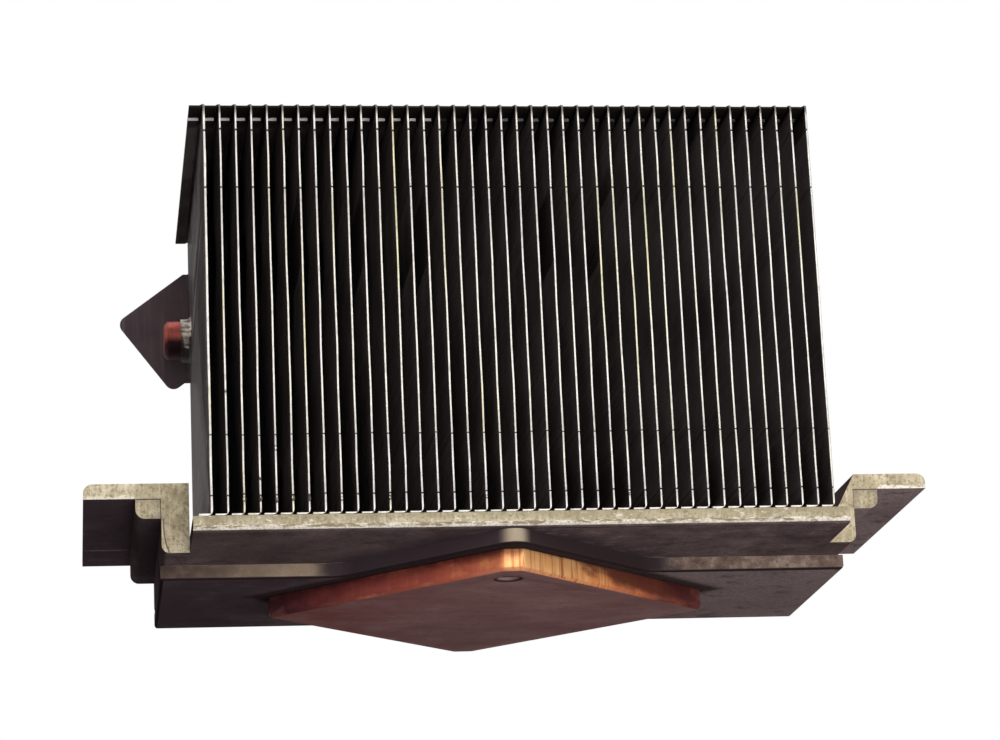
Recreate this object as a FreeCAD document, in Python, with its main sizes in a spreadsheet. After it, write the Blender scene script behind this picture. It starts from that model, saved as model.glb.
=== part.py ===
"""Passive server CPU heatsink.

A cast base carries a stack of folded sheet fins with one straight heat pipe through them,
and a square copper contact plate, turned 45 degrees, below.
Millimetres. The origin is the middle of the contact face, +Z points up to the fins,
and -Y is the side that the air comes in.
"""
import FreeCAD, Part
import math
import os
import re
import Sketcher

DIMENSIONS = (
    # contact plate
    ("contact_side", 45.0),
    ("contact_thickness", 3.1),
    ("contact_corner_radius", 0.8),
    ("contact_clip_reach", 30.3),
    ("contact_clip_radius", 1.0),
    ("contact_edge_bevel", 0.4),
    ("dimple_diameter", 3.4),
    ("dimple_depth", 0.6),
    ("dimple_reach", 24.6),
    # cast base: depths are measured along Y from the middle of the contact face
    ("base_shift", 1.5),
    ("plate_width", 89.7),
    ("plate_thickness", 2.2),
    ("front_reach", 34.0),
    ("rear_reach", 28.0),
    ("step_thickness", 2.1),
    ("pedestal_side", 48.8),
    ("pedestal_corner_radius", 2.5),
    ("pedestal_root_radius", 5.5),
    ("block_front", 12.6),
    ("block_rear", 22.9),
    ("wing_front", 21.1),
    ("wing_top", 15.0),
    ("wing_span", 118.65),
    ("wing_thickness", 2.15),
    ("wing_tip_radius", 1.3),
    ("upright_outer", 48.7),
    ("upright_foot_radius", 1.1),
    ("right_upright_lean", 4.1),
    ("rib_width", 3.5),
    ("rib_drop", 2.8),
    ("rib_radius", 1.3),
    # fins
    ("fin_count", 40),
    ("fin_pitch", 2.18),
    ("fin_thickness", 0.3),
    ("fin_height", 58.4),
    ("fin_fold_radius", 0.75),
    ("fin_foot_reach", 1.75),
    ("flange_drop", 0.4),
    ("first_fin_offset", -42.33),
    # heat pipe and the collar drawn from the first fin
    ("pipe_diameter", 6.0),
    ("pipe_depth_place", 22.0),
    ("pipe_height", 40.3),
    ("pipe_left_reach", 4.3),
    ("pipe_right_reach", 2.6),
    ("pipe_end_bevel", 0.6),
    ("collar_length", 1.6),
    ("collar_wall", 0.35),
    ("collar_root_bevel", 0.4),
    # lug bent out of the first fin
    ("lug_corner_reach", 11.4),
    ("lug_corner_height", 44.9),
    ("lug_width", 14.0),
    ("lug_tilt", 37.0),
    ("lug_corner_radius", 1.4),
    ("lug_root_run", 0.4),
)

doc = FreeCAD.newDocument("cpu_heatsink")
sheet = doc.addObject("Spreadsheet::Sheet", "sizes")


def fill_sheet():
    """Write every driving dimension into the sheet under its own alias."""
    for row, (alias, value) in enumerate(DIMENSIONS, start=1):
        sheet.set(f"A{row}", alias)
        sheet.set(f"B{row}", str(value))
        sheet.setAlias(f"B{row}", alias)
    doc.recompute()


def size(expression):
    """The present value of an expression written in sheet aliases."""
    return float(sheet.evalExpression(expression))


def linked(expression):
    """The same expression as another object has to write it, with the sheet named before each alias."""
    return re.sub(r"\b([a-z]+(?:_[a-z]+)+)\b", r"sizes.\1", expression)


def bind(obj, path, expression):
    obj.setExpression(path, linked(expression))


def new_body(label, x="0", y="0", z="0"):
    """A body with its label and a placement bound to the sheet."""
    body = doc.addObject("PartDesign::Body", label)
    body.Label = label
    for axis, expression in zip("xyz", (x, y, z)):
        bind(body, f"Placement.Base.{axis}", expression)
    return body


def new_sketch(body, name, plane, offset="0"):
    """An empty sketch on one of the body's own planes, moved along that plane's normal."""
    sketch = body.newObject("Sketcher::SketchObject", f"{body.Label}_{name}")
    support = [item for item in body.Origin.OriginFeatures if item.Role == plane][0]
    sketch.AttachmentSupport = [(support, "")]
    sketch.MapMode = "FlatFace"
    bind(sketch, "AttachmentOffset.Base.z", offset)
    return sketch


def place_point(sketch, geometry, position, x, y):
    """Hold a sketch point at two expressions, measured from the sketch's origin."""
    for kind, expression in (("DistanceX", x), ("DistanceY", y)):
        value = size(expression)
        index = sketch.addConstraint(Sketcher.Constraint(kind, -1, 1, geometry, position, value))
        bind(sketch, f"Constraints[{index}]", expression)


def rounded_profile(sketch, corners):
    """Draw a closed outline. Each corner is (x, y, radius), with None for a sharp one."""
    spots = [FreeCAD.Vector(size(x), size(y), 0) for x, y, _ in corners]
    radii = [size(radius) if radius else 0.0 for _, _, radius in corners]
    count = len(corners)
    starts = []
    ends = []
    for i, spot in enumerate(spots):
        to_last = (spots[i - 1] - spot).normalize()
        to_next = (spots[(i + 1) % count] - spot).normalize()
        cut = radii[i] / math.tan(to_last.getAngle(to_next) / 2)
        ends.append(spot + to_last * cut)
        starts.append(spot + to_next * cut)
    lines = []
    for i in range(count):
        line = Part.LineSegment(starts[i], ends[(i + 1) % count])
        lines.append(sketch.addGeometry(line, False))
    for i, (x, y, radius) in enumerate(corners):
        before = lines[i - 1]
        after = lines[i]
        if not radius:
            sketch.addConstraint(Sketcher.Constraint("Coincident", before, 2, after, 1))
            place_point(sketch, after, 1, x, y)
            continue
        corner = sketch.addGeometry(Part.Point(spots[i]), True)
        place_point(sketch, corner, 1, x, y)
        sketch.addConstraint(Sketcher.Constraint("PointOnObject", corner, 1, before))
        sketch.addConstraint(Sketcher.Constraint("PointOnObject", corner, 1, after))
        bisector = (ends[i] + starts[i]) * 0.5 - spots[i]
        reach = math.hypot(radii[i], (ends[i] - spots[i]).Length) - radii[i]
        middle = spots[i] + bisector.normalize() * reach
        turns_left = (spots[i] - ends[i]).cross(starts[i] - spots[i]).z > 0
        first, last = (ends[i], starts[i]) if turns_left else (starts[i], ends[i])
        enter, leave = (1, 2) if turns_left else (2, 1)
        curve = sketch.addGeometry(Part.Arc(first, middle, last), False)
        sketch.addConstraint(Sketcher.Constraint("Tangent", before, 2, curve, enter))
        sketch.addConstraint(Sketcher.Constraint("Tangent", curve, leave, after, 1))
        index = sketch.addConstraint(Sketcher.Constraint("Radius", curve, radii[i]))
        bind(sketch, f"Constraints[{index}]", radius)


def circle(sketch, x, y, radius):
    """Draw a circle held by its centre and radius."""
    centre = FreeCAD.Vector(size(x), size(y), 0)
    index = sketch.addGeometry(Part.Circle(centre, FreeCAD.Vector(0, 0, 1), size(radius)), False)
    place_point(sketch, index, 3, x, y)
    limit = sketch.addConstraint(Sketcher.Constraint("Radius", index, size(radius)))
    bind(sketch, f"Constraints[{limit}]", radius)


def extrude(body, kind, name, sketch, length, reversed_side=False):
    """Pad or pocket a sketch by a bound length."""
    feature = body.newObject(f"PartDesign::{kind}", f"{body.Label}_{name}")
    feature.Profile = sketch
    bind(feature, "Length", length)
    feature.Reversed = reversed_side
    return feature


def bevel_edges(body, base, name, width, chosen):
    """Chamfer the edges of a feature that a test picks."""
    doc.recompute()
    names = [f"Edge{i}" for i, edge in enumerate(base.Shape.Edges, start=1) if chosen(edge)]
    bevel = body.newObject("PartDesign::Chamfer", f"{body.Label}_{name}")
    bevel.Base = (base, names)
    bind(bevel, "Size", width)
    return bevel


def contact_outline():
    """A square on its corner. Its near and far corners are clipped."""
    half = "contact_side / sqrt(2)"
    clip = f"({half} - contact_clip_reach)"
    return [
        (f"-{clip}", "-contact_clip_reach", "contact_clip_radius"),
        (clip, "-contact_clip_reach", "contact_clip_radius"),
        (half, "0", "contact_corner_radius"),
        (clip, "contact_clip_reach", "contact_clip_radius"),
        (f"-{clip}", "contact_clip_reach", "contact_clip_radius"),
        (f"-{half}", "0", "contact_corner_radius"),
    ]


def step_outline():
    """The block across the base with the pedestal, a square on its corner, standing out in front and behind."""
    half = "pedestal_side / sqrt(2)"
    middle = "-base_shift"
    at_front = f"({half} - block_front)"
    at_rear = f"({half} - block_rear)"
    at_back = f"({half} - rear_reach)"
    return [
        (middle, f"-({half})", "pedestal_corner_radius"),
        (f"{middle} + {at_front}", "-block_front", "pedestal_root_radius"),
        ("upright_outer", "-block_front", None),
        ("upright_outer", "block_rear", None),
        (f"{middle} + {at_rear}", "block_rear", None),
        (f"{middle} + {at_back}", "rear_reach", None),
        (f"{middle} - {at_back}", "rear_reach", None),
        (f"{middle} - {at_rear}", "block_rear", None),
        ("-upright_outer", "block_rear", None),
        ("-upright_outer", "-block_front", None),
        (f"{middle} - {at_front}", "-block_front", "pedestal_root_radius"),
    ]


def rectangle(left, right, low, high):
    return [(left, low, None), (right, low, None), (right, high, None), (left, high, None)]


def build_contact_plate():
    """Copper plate with bevelled lower edges and one shallow dimple."""
    body = new_body("copper_plate")
    outline = new_sketch(body, "outline", "XY_Plane")
    rounded_profile(outline, contact_outline())
    slab = extrude(body, "Pad", "slab", outline, "contact_thickness")
    eased = bevel_edges(body, slab, "lower_edge", "contact_edge_bevel",
                        lambda edge: edge.BoundBox.ZMax < size("contact_thickness") / 2)
    doc.recompute()
    spot = new_sketch(body, "dimple_outline", "XY_Plane")
    circle(spot, "0", "-dimple_reach", "dimple_diameter / 2")
    before = eased.Shape.Volume
    dimple = extrude(body, "Pocket", "dimple", spot, "dimple_depth", reversed_side=True)
    doc.recompute()
    if dimple.Shape.Volume >= before:
        raise RuntimeError("the dimple cuts nothing")


def wing_profile(side, lean):
    """Section of one clip wing: upright, rib in its corner, and the ledge for the clip."""
    sign = "" if side == "right" else "-"
    plate_top = "contact_thickness + step_thickness + plate_thickness"
    plate_under = "contact_thickness + step_thickness"
    ledge_under = "wing_top - wing_thickness"
    rib_under = "wing_top - wing_thickness - rib_drop"
    rib_outer = "upright_outer + rib_width"
    return [
        (f"{sign}(plate_width / 2)", plate_under, None),
        (f"{sign}(upright_outer)", plate_under, "upright_foot_radius"),
        (f"{sign}(upright_outer)", rib_under, None),
        (f"{sign}({rib_outer})", rib_under, "rib_radius"),
        (f"{sign}({rib_outer})", ledge_under, None),
        (f"{sign}(wing_span / 2)", ledge_under, None),
        (f"{sign}(wing_span / 2)", "wing_top", "wing_tip_radius"),
        (f"{sign}(plate_width / 2 + {lean})", "wing_top", None),
        (f"{sign}(plate_width / 2)", plate_top, None),
    ]


def build_base():
    """One casting: fin plate, clip wings, stepped block and the pedestal under the copper."""
    body = new_body("base", x="base_shift")
    plate_under = "contact_thickness + step_thickness"
    plate = new_sketch(body, "plate_outline", "XY_Plane", plate_under)
    rounded_profile(plate, rectangle("-plate_width / 2", "plate_width / 2", "-front_reach", "rear_reach"))
    extrude(body, "Pad", "plate", plate, "plate_thickness")

    step = new_sketch(body, "step_outline", "XY_Plane", "contact_thickness")
    rounded_profile(step, step_outline())
    extrude(body, "Pad", "step", step, "step_thickness")

    for side, lean in (("left", "0"), ("right", "right_upright_lean")):
        section = new_sketch(body, f"{side}_wing_section", "XZ_Plane", "wing_front")
        rounded_profile(section, wing_profile(side, lean))
        extrude(body, "Pad", f"{side}_wing", section, "wing_front + block_rear", reversed_side=True)


def build_heat_pipe():
    """Straight sealed copper pipe, with its ends bevelled."""
    last_web = "base_shift + first_fin_offset + (fin_count - 1) * fin_pitch"
    first_web = "base_shift + first_fin_offset"
    body = new_body("heat_pipe", y="pipe_depth_place",
                    z="contact_thickness + step_thickness + plate_thickness + pipe_height")
    section = new_sketch(body, "half_section", "XZ_Plane")
    left_tip = f"{first_web} - pipe_left_reach"
    right_tip = f"{last_web} + pipe_right_reach"
    radius = "pipe_diameter / 2"
    rounded_profile(section, [
        (left_tip, "0", None),
        (right_tip, "0", None),
        (right_tip, f"{radius} - pipe_end_bevel", None),
        (f"{right_tip} - pipe_end_bevel", radius, None),
        (f"{left_tip} + pipe_end_bevel", radius, None),
        (left_tip, f"{radius} - pipe_end_bevel", None),
    ])
    turned = body.newObject("PartDesign::Revolution", "heat_pipe_turned")
    turned.Profile = section
    turned.ReferenceAxis = (section, ["H_Axis"])
    turned.Angle = 360.0


def fin_section():
    """C-shaped section of a fin. Foot and flange fold to the left, and the flange slopes to the next web."""
    half = "fin_thickness / 2"
    flange_end = f"-(fin_pitch - {half})"
    end_top = "fin_height - flange_drop"
    inner_corner = "fin_height - fin_thickness * (1 + flange_drop / fin_pitch)"
    return [
        ("-fin_foot_reach", "0", None),
        (half, "0", "fin_fold_radius"),
        (half, "fin_height", None),
        (flange_end, end_top, None),
        (flange_end, f"{end_top} - fin_thickness", None),
        (f"-{half}", inner_corner, None),
        (f"-{half}", "fin_thickness", None),
        ("-fin_foot_reach", "fin_thickness", None),
    ]


def build_fin(number):
    """One folded fin, standing on the plate, with a close hole for the heat pipe."""
    body = new_body(f"fin_{number:02d}", x=f"base_shift + first_fin_offset + {number - 1} * fin_pitch",
                    z="contact_thickness + step_thickness + plate_thickness")
    section = new_sketch(body, "section", "XZ_Plane", "front_reach")
    rounded_profile(section, fin_section())
    extrude(body, "Pad", "sheet", section, "front_reach + rear_reach", reversed_side=True)
    if number == 1:
        add_lug(body)
        add_collar(body)
    hole = new_sketch(body, "hole_outline", "YZ_Plane")
    circle(hole, "pipe_depth_place", "pipe_height", "pipe_diameter / 2")
    cut = body.newObject("PartDesign::Pocket", f"{body.Label}_hole")
    cut.Profile = hole
    cut.Type = "ThroughAll"
    cut.SideType = "Symmetric"


def add_lug(body):
    """Bend a square-ended lug out to the left from the fin's rear edge, on a slant."""
    half = "fin_thickness / 2"
    inner_fold = "fin_fold_radius - fin_thickness"
    root = "rear_reach - (fin_fold_radius + lug_root_run)"
    flat_start = f"{half} + {inner_fold} + lug_root_run"
    low_corner_x = "(lug_corner_reach - lug_width * sin(lug_tilt * 1 deg))"
    low_corner_z = "(lug_corner_height - lug_width * cos(lug_tilt * 1 deg))"
    slope = "tan(lug_tilt * 1 deg)"
    root_top = f"lug_corner_height + (lug_corner_reach - ({flat_start})) * {slope}"
    root_low = f"{low_corner_z} + ({low_corner_x} - ({flat_start})) * {slope}"

    notch = new_sketch(body, "lug_notch_outline", "YZ_Plane")
    rounded_profile(notch, rectangle(root, "rear_reach", root_low, root_top))
    cleared = body.newObject("PartDesign::Pocket", f"{body.Label}_lug_notch")
    cleared.Profile = notch
    bind(cleared, "Length", "2 * fin_thickness")
    cleared.SideType = "Symmetric"

    fold = new_sketch(body, "lug_bend_section", "XY_Plane", root_low)
    rounded_profile(fold, [
        (f"-{half}", root, None),
        (half, root, None),
        (half, "rear_reach", "fin_fold_radius"),
        (f"-({flat_start})", "rear_reach", None),
        (f"-({flat_start})", "rear_reach - fin_thickness", None),
        (f"-{half}", "rear_reach - fin_thickness", inner_fold),
    ])
    extrude(body, "Pad", "lug_bend", fold, f"{root_top} - ({root_low})")

    outline = new_sketch(body, "lug_outline", "XZ_Plane", "-rear_reach")
    rounded_profile(outline, [
        (f"-({flat_start})", root_low, None),
        (f"-({flat_start})", root_top, None),
        ("-lug_corner_reach", "lug_corner_height", "lug_corner_radius"),
        (f"-{low_corner_x}", low_corner_z, "lug_corner_radius"),
    ])
    extrude(body, "Pad", "lug", outline, "fin_thickness")


def add_collar(body):
    """Draw a short collar out round the pipe, with a splayed root."""
    ring = new_sketch(body, "collar_outline", "YZ_Plane", "-fin_thickness / 2")
    circle(ring, "pipe_depth_place", "pipe_height", "pipe_diameter / 2 + collar_wall")
    collar = extrude(body, "Pad", "collar", ring, "collar_length", reversed_side=True)
    face = -size("fin_thickness / 2")
    outer = size("pipe_diameter / 2 + collar_wall")
    middle = FreeCAD.Vector(face, size("pipe_depth_place"), size("pipe_height"))

    def is_root(edge):
        round_edge = isinstance(edge.Curve, Part.Circle) and abs(edge.Curve.Radius - outer) < 0.01
        return round_edge and edge.Curve.Center.distanceToPoint(middle) < 0.01

    bevel_edges(body, collar, "collar_root", "collar_root_bevel", is_root)


def check_and_write():
    """Stop on any failed object, then write one file for each piece."""
    doc.recompute()
    for obj in doc.Objects:
        if "Invalid" in obj.State or "Error" in obj.State:
            raise RuntimeError(f"{obj.Label} failed: {obj.State}")
    bodies = [obj for obj in doc.Objects if obj.TypeId == "PartDesign::Body"]
    for body in bodies:
        shape = body.Shape
        if shape.isNull() or not shape.isValid() or len(shape.Solids) != 1:
            raise RuntimeError(f"{body.Label} is not one sound solid")
    os.makedirs("parts", exist_ok=True)
    for body in bodies:
        body.Shape.exportStep(f"parts/{body.Label}.step")
    print(f"{len(bodies)} pieces written")


fill_sheet()
build_contact_plate()
build_base()
build_heat_pipe()
for fin_number in range(1, int(size("fin_count")) + 1):
    build_fin(fin_number)
check_and_write()
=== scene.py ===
"""Looks of a passive CPU heatsink: worn bare metal, lit softly from the front, on a pale floor.

The fins, base, contact plate and pipe keep the form of their solids. Here they get softened edges,
small marks of their making and procedural materials. Sizes are in millimetres until they reach a mesh.
"""
import bmesh
import bpy
import math
import random
from mathutils import Matrix, Vector


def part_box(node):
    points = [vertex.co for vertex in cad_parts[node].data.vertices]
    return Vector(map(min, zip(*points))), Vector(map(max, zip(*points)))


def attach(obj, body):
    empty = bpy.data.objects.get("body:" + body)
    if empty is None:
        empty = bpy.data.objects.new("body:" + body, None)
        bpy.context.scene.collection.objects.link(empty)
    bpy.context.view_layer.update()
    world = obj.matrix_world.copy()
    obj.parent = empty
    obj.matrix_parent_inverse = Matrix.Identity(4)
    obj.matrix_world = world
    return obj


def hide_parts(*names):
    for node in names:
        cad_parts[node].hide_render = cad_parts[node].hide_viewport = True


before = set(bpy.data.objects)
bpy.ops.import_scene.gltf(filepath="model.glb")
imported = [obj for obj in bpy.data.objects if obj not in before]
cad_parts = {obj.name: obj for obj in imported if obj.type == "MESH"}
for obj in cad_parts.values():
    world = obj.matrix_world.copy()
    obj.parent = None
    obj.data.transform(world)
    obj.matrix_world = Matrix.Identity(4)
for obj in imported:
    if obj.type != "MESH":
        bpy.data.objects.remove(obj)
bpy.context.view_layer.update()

MM = 0.001
WELD = 0.002 * MM
TOUCH = 0.01 * MM
FLAT_ANGLE = math.radians(1.0)
SHARP_ANGLE = math.radians(32.0)
FIN_COUNT = sum(name.startswith("fin_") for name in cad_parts)

# camera, as found from the straight edges of the part
CAMERA_PLACE = Vector((-59.72, -451.99, -88.12)) * MM
CAMERA_RIGHT = Vector((0.99097, -0.12668, -0.04393))
CAMERA_UP = Vector((0.00857, -0.26709, 0.96363))
CAMERA_LENS = 115.2
CAMERA_SENSOR = 36.0

# base
PLATE_FRONT = -34.0
PLATE_UNDER = 5.2
WING_FRONT = -21.1
LEDGE_UNDER = 12.85
RIB_UNDER = 10.05
RIBS = ((-50.7, -47.2), (50.2, 53.7))
STEP_UNDER = 3.1
# the pedestal is a square on its corner, and its corners lie this far from the middle
PEDESTAL_REACH = 34.5
PLATE_EDGE_ROUNDING = 0.9
STEP_EDGE_ROUNDING = 0.5
BASE_EDGE_ROUNDING = 0.16
RIB_INSET = 0.15
# bright scratch under the left wing
SCRATCH_PLACE = (-54.4, 11.8)
# the painted-shade line beside the left rib runs on down the upright, in from its edge,
# and bows with the cube of the way down
CREASE_INSET = 0.3
CREASE_BOW = 0.007
# where painted shade and painted highlight, the step's fade, the olive tone and the burr begin and end on the
# base
UNDER_SHADE_HALF_WIDTH = 52.0
INWARD_FROM = (20.0, 30.0)
PEDESTAL_SHADE_REACH = 9.0
CONTACT_SHADE_SPREAD = (33.5, 36.5)
STEP_ROOT = (23.0, 28.0)
STEP_LEFT_FADE = (-48.0, -20.0)
CORNER_HIGHLIGHT_REACH = 2.4
OLIVE_HEIGHT = (PLATE_UNDER + 0.8, PLATE_UNDER + 2.0)
BURR_HEIGHT = (PLATE_UNDER + 0.15, PLATE_UNDER + 0.7)
RIM_REACH = 0.5
RIM_RAGGED = 2.4

# fins
FIN_SHEET = 0.3
FLANGE_DROP = 0.4
FOLD_ROUNDING = 0.28
# the shown flange falls from the fold to this level within so much of the web, and then runs level
FLANGE_LEVEL = 0.25
FLANGE_BEND = 0.4
FIN_EDGE_ROUNDING = 0.05
# sheared edges: how squarely their faces look forward or back, and how near the ends they lie
EDGE_FACING = 0.97
EDGE_ZONE_FRONT = 0.5
EDGE_ZONE_REAR = 0.3
# marks that the stacking tool left on each front edge: height above the floor, depth,
# and a third of the mark's own height
FIN_MARKS = ((10.2, 0.16, 0.075), (18.5, 0.11, 0.06), (53.6, 0.14, 0.085), (62.0, 0.18, 0.10))
MARK_SIDE_SHIFT = -0.08
MARK_JITTER = 0.12
MARK_CUT_RANGE = (0.7, 1.25)
MARK_SECOND_CUT = 0.45
MARK_ZONE = 0.2
EDGE_WAVE = 0.05
EDGE_WAVE_STEPS = (14.0, 25.0, 31.0, 37.0, 43.0, 58.0)
# lock tab pressed down under each flange: its front and rear end, how far it reaches down,
# and how far it stays from the fin's right face
TAB_FRONT = -29.7
TAB_REAR = 22.5
TAB_DEPTH = 0.42
TAB_GAP = 0.75
# fold, flange and tab lie within this depth of the top
CROWN_DEPTH = 1.2
# painted shade on the front of the crown: from so far below the top to so far, and from so far forward to so
# far
CROWN_SHADE = (1.4, 0.7)
CROWN_SHADE_FRONT = (-26.0, -28.0)
# painted shade: the sheared edges grow dark from so far below the top to so far
EDGE_FOLD_SHADE = (2.2, 0.7)
# first fin: wall of the collar, lower and upper limit of the lug, and its depth at the rear edge
COLLAR_WALL = 0.9
LUG_LOW = 20.0
LUG_BELOW_TOP = 5.0
LUG_DEPTH = 1.0
# drops of metal on the front edges: fin number, height, size
DROPS = ((2, 24.6, 0.16), (3, 9.6, 0.26), (4, 9.6, 0.30), (4, 12.4, 0.20), (5, 9.4, 0.26), (5, 16.6, 0.24),
         (6, 9.7, 0.32), (7, 9.6, 0.26), (9, 9.5, 0.2), (12, 9.6, 0.22), (18, 9.5, 0.18), (27, 9.6, 0.2))
DROP_INSET = 0.05

# contact plate and pipe
DIMPLE_PLACE = (0.0, -24.6, 0.0)
DIMPLE_RADIUS = 1.7
DIMPLE_DIRT = (0.085, 0.05, 0.05)
# the contact face grows redder to the left, from so far to so far
REDDER_FACE = (-4.0, -26.0)
COPPER_EDGE_ROUNDING = 0.22
PIPE_EDGE_ROUNDING = 0.25

# studio, in metres and watts; each lamp with its name, place, size, power and colour
LAMP_AIM = (0.0, 0.0, 0.03)
LAMPS = (
    ("front_soft", (0.20, -0.85, 0.40), 0.7, 3.3, (1.0, 0.98, 0.95)),
    ("near_lens", (0.06, -0.80, -0.14), 0.45, 2.3, (1.0, 0.98, 0.96)),
    ("under_soft", (0.25, -0.55, -0.45), 0.6, 2.3, (1.0, 0.97, 0.95)),
    ("top_soft", (0.1, 0.15, 1.1), 0.9, 7.0, (1.0, 1.0, 1.0)),
    ("rear_soft", (0.30, 0.95, 0.45), 0.6, 6.5, (1.0, 1.0, 1.0)),
)
WORLD_AS_LIGHT = 0.12
WORLD_AS_SEEN = 1.0
FLOOR_RADIUS = 6.0
FLOOR_LEVEL = -0.0002
FLOOR_FADE = (0.3, 1.5)
FLOOR_FAR_COLOUR = (0.42, 0.42, 0.415)
FLOOR_FAR_GLOW = 0.5


class Look:
    """One material and the short-hand that builds its nodes."""

    def __init__(self, name, **settings):
        self.material = bpy.data.materials.new(name)
        self.material.use_nodes = True
        self.tree = self.material.node_tree
        self.shader = self.tree.nodes["Principled BSDF"]
        for socket, value in settings.items():
            self.shader.inputs[socket.replace("_", " ")].default_value = value
        self.place = self.add("ShaderNodeTexCoord").outputs["Object"]
        self.normal = self.add("ShaderNodeNewGeometry").outputs["Normal"]

    def add(self, kind, **settings):
        """A new node with the given settings."""
        node = self.tree.nodes.new(kind)
        for name, value in settings.items():
            setattr(node, name, value)
        return node

    def plug(self, socket, value):
        """Link an output, or set a plain value."""
        if isinstance(value, bpy.types.NodeSocket):
            self.tree.links.new(value, socket)
        else:
            socket.default_value = value

    def noise(self, stretch, detail=3.0, rough=0.55, seed=0.0):
        """Noise with so many features to the millimetre along X, Y and Z."""
        mapping = self.add("ShaderNodeMapping")
        self.plug(mapping.inputs["Vector"], self.place)
        mapping.inputs["Scale"].default_value = [value / MM for value in stretch]
        mapping.inputs["Location"].default_value = (seed, seed * 0.7, seed * 1.3)
        node = self.add("ShaderNodeTexNoise")
        self.plug(node.inputs["Vector"], mapping.outputs["Vector"])
        node.inputs["Scale"].default_value = 1.0
        node.inputs["Detail"].default_value = detail
        node.inputs["Roughness"].default_value = rough
        return node.outputs["Fac"]

    def calc(self, operation, first, second=0.0):
        """One step of arithmetic."""
        node = self.add("ShaderNodeMath", operation=operation)
        self.plug(node.inputs[0], first)
        self.plug(node.inputs[1], second)
        return node.outputs[0]

    def product(self, first, second):
        return self.calc("MULTIPLY", first, second)

    def size_of(self, value):
        return self.calc("ABSOLUTE", value)

    def span(self, value, low, high, start=0.0, end=1.0):
        """Carry a value from one range to another, with a soft start and end."""
        node = self.add("ShaderNodeMapRange", interpolation_type="SMOOTHSTEP")
        self.plug(node.inputs["Value"], value)
        for socket, number in (("From Min", low), ("From Max", high), ("To Min", start), ("To Max", end)):
            node.inputs[socket].default_value = number
        return node.outputs["Result"]

    def near(self, value, middle, reach):
        """One at a place, falling to nothing at so many millimetres from it."""
        away = self.size_of(self.calc("SUBTRACT", value, middle * MM))
        return self.span(away, 0.3 * reach * MM, reach * MM, 1.0, 0.0)

    def axis(self, vector, name):
        """One part of a vector."""
        node = self.add("ShaderNodeSeparateXYZ")
        self.plug(node.inputs[0], vector)
        return node.outputs[name]

    def blend(self, factor, first, second):
        """The first colour, giving way to the second as the factor grows."""
        node = self.add("ShaderNodeMix", data_type="RGBA")
        self.plug(node.inputs["Factor"], factor)
        for socket, value in ((node.inputs[6], first), (node.inputs[7], second)):
            self.plug(socket, value if isinstance(value, bpy.types.NodeSocket) else (*value, 1.0))
        return node.outputs[2]

    def ramp(self, factor, *stops):
        """Colours along a factor, each with its place."""
        node = self.add("ShaderNodeValToRGB")
        self.plug(node.inputs["Fac"], factor)
        points = node.color_ramp.elements
        while len(points) < len(stops):
            points.new(0.5)
        for point, (place, colour) in zip(points, stops):
            point.position = place
            point.color = (*colour, 1.0)
        return node.outputs["Color"]

    def bump(self, height, strength, depth):
        """Fine relief of so many millimetres."""
        node = self.add("ShaderNodeBump")
        node.inputs["Strength"].default_value = strength
        node.inputs["Distance"].default_value = depth * MM
        self.plug(node.inputs["Height"], height)
        self.plug(self.shader.inputs["Normal"], node.outputs["Normal"])

    def colour(self, value):
        self.plug(self.shader.inputs["Base Color"], value)

    def roughness(self, value):
        self.plug(self.shader.inputs["Roughness"], value)


DULL_GLINT = (0.16, 0.145, 0.14, 1.0)


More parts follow.
